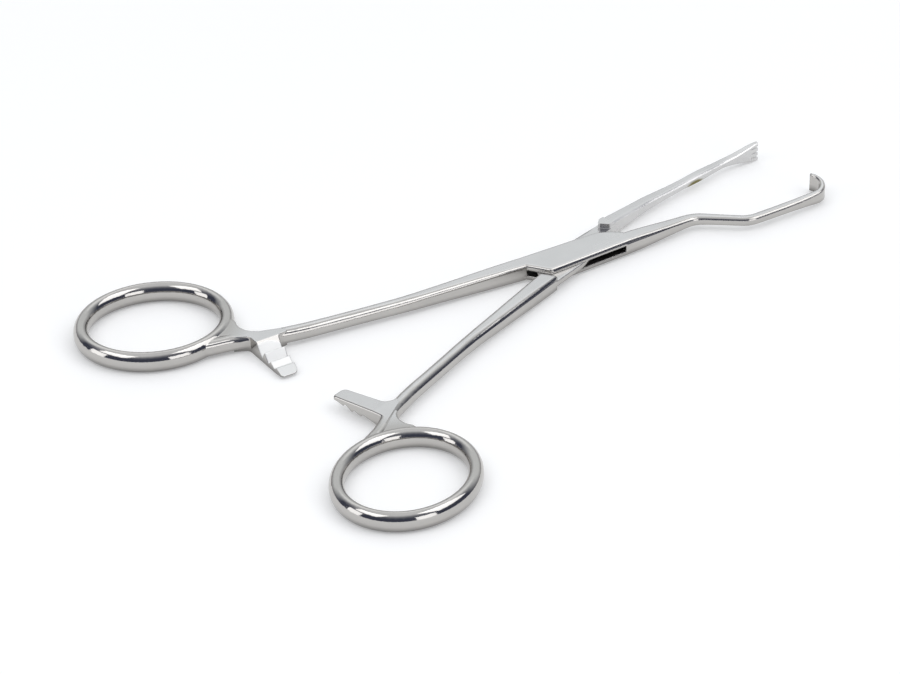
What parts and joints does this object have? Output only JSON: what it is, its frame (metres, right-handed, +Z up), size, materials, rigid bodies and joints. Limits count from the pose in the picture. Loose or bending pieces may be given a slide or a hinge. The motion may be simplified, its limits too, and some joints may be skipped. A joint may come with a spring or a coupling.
{
  "type": "allis tissue forceps",
  "caption": "Allis type tissue forceps lying open: ring handles with ratchet, box lock, a slim jaw ending in a pronged rake and a goose-neck jaw with a hooked blade, polished steel",
  "frame": {"origin": "on the pin's axis at the flat underside of the box lock", "axes": "+X along the instrument from the box lock to the jaws, midway between the two open arms, +Z up from the table, +Y to the side of the slotted arm's ring"},
  "size_m": [0.1487, 0.0993, 0.0041],
  "materials": {
    "female_steel": "polished",
    "male_steel": "polished",
    "pin_steel": "polished"
  },
  "bodies": {
    "slotted_arm": {"female_arm": "female_steel", "pivot_pin": "pin_steel"},
    "tongue_arm": {"male_arm": "male_steel"}
  },
  "joints": [
    {"name": "box_lock_hinge", "type": "hinge", "parent": "slotted_arm", "child": "tongue_arm", "pos_m": [0, 0, 0.00175], "axis": [0, 0, 1], "range_deg": [-16, 38]}
  ]
}
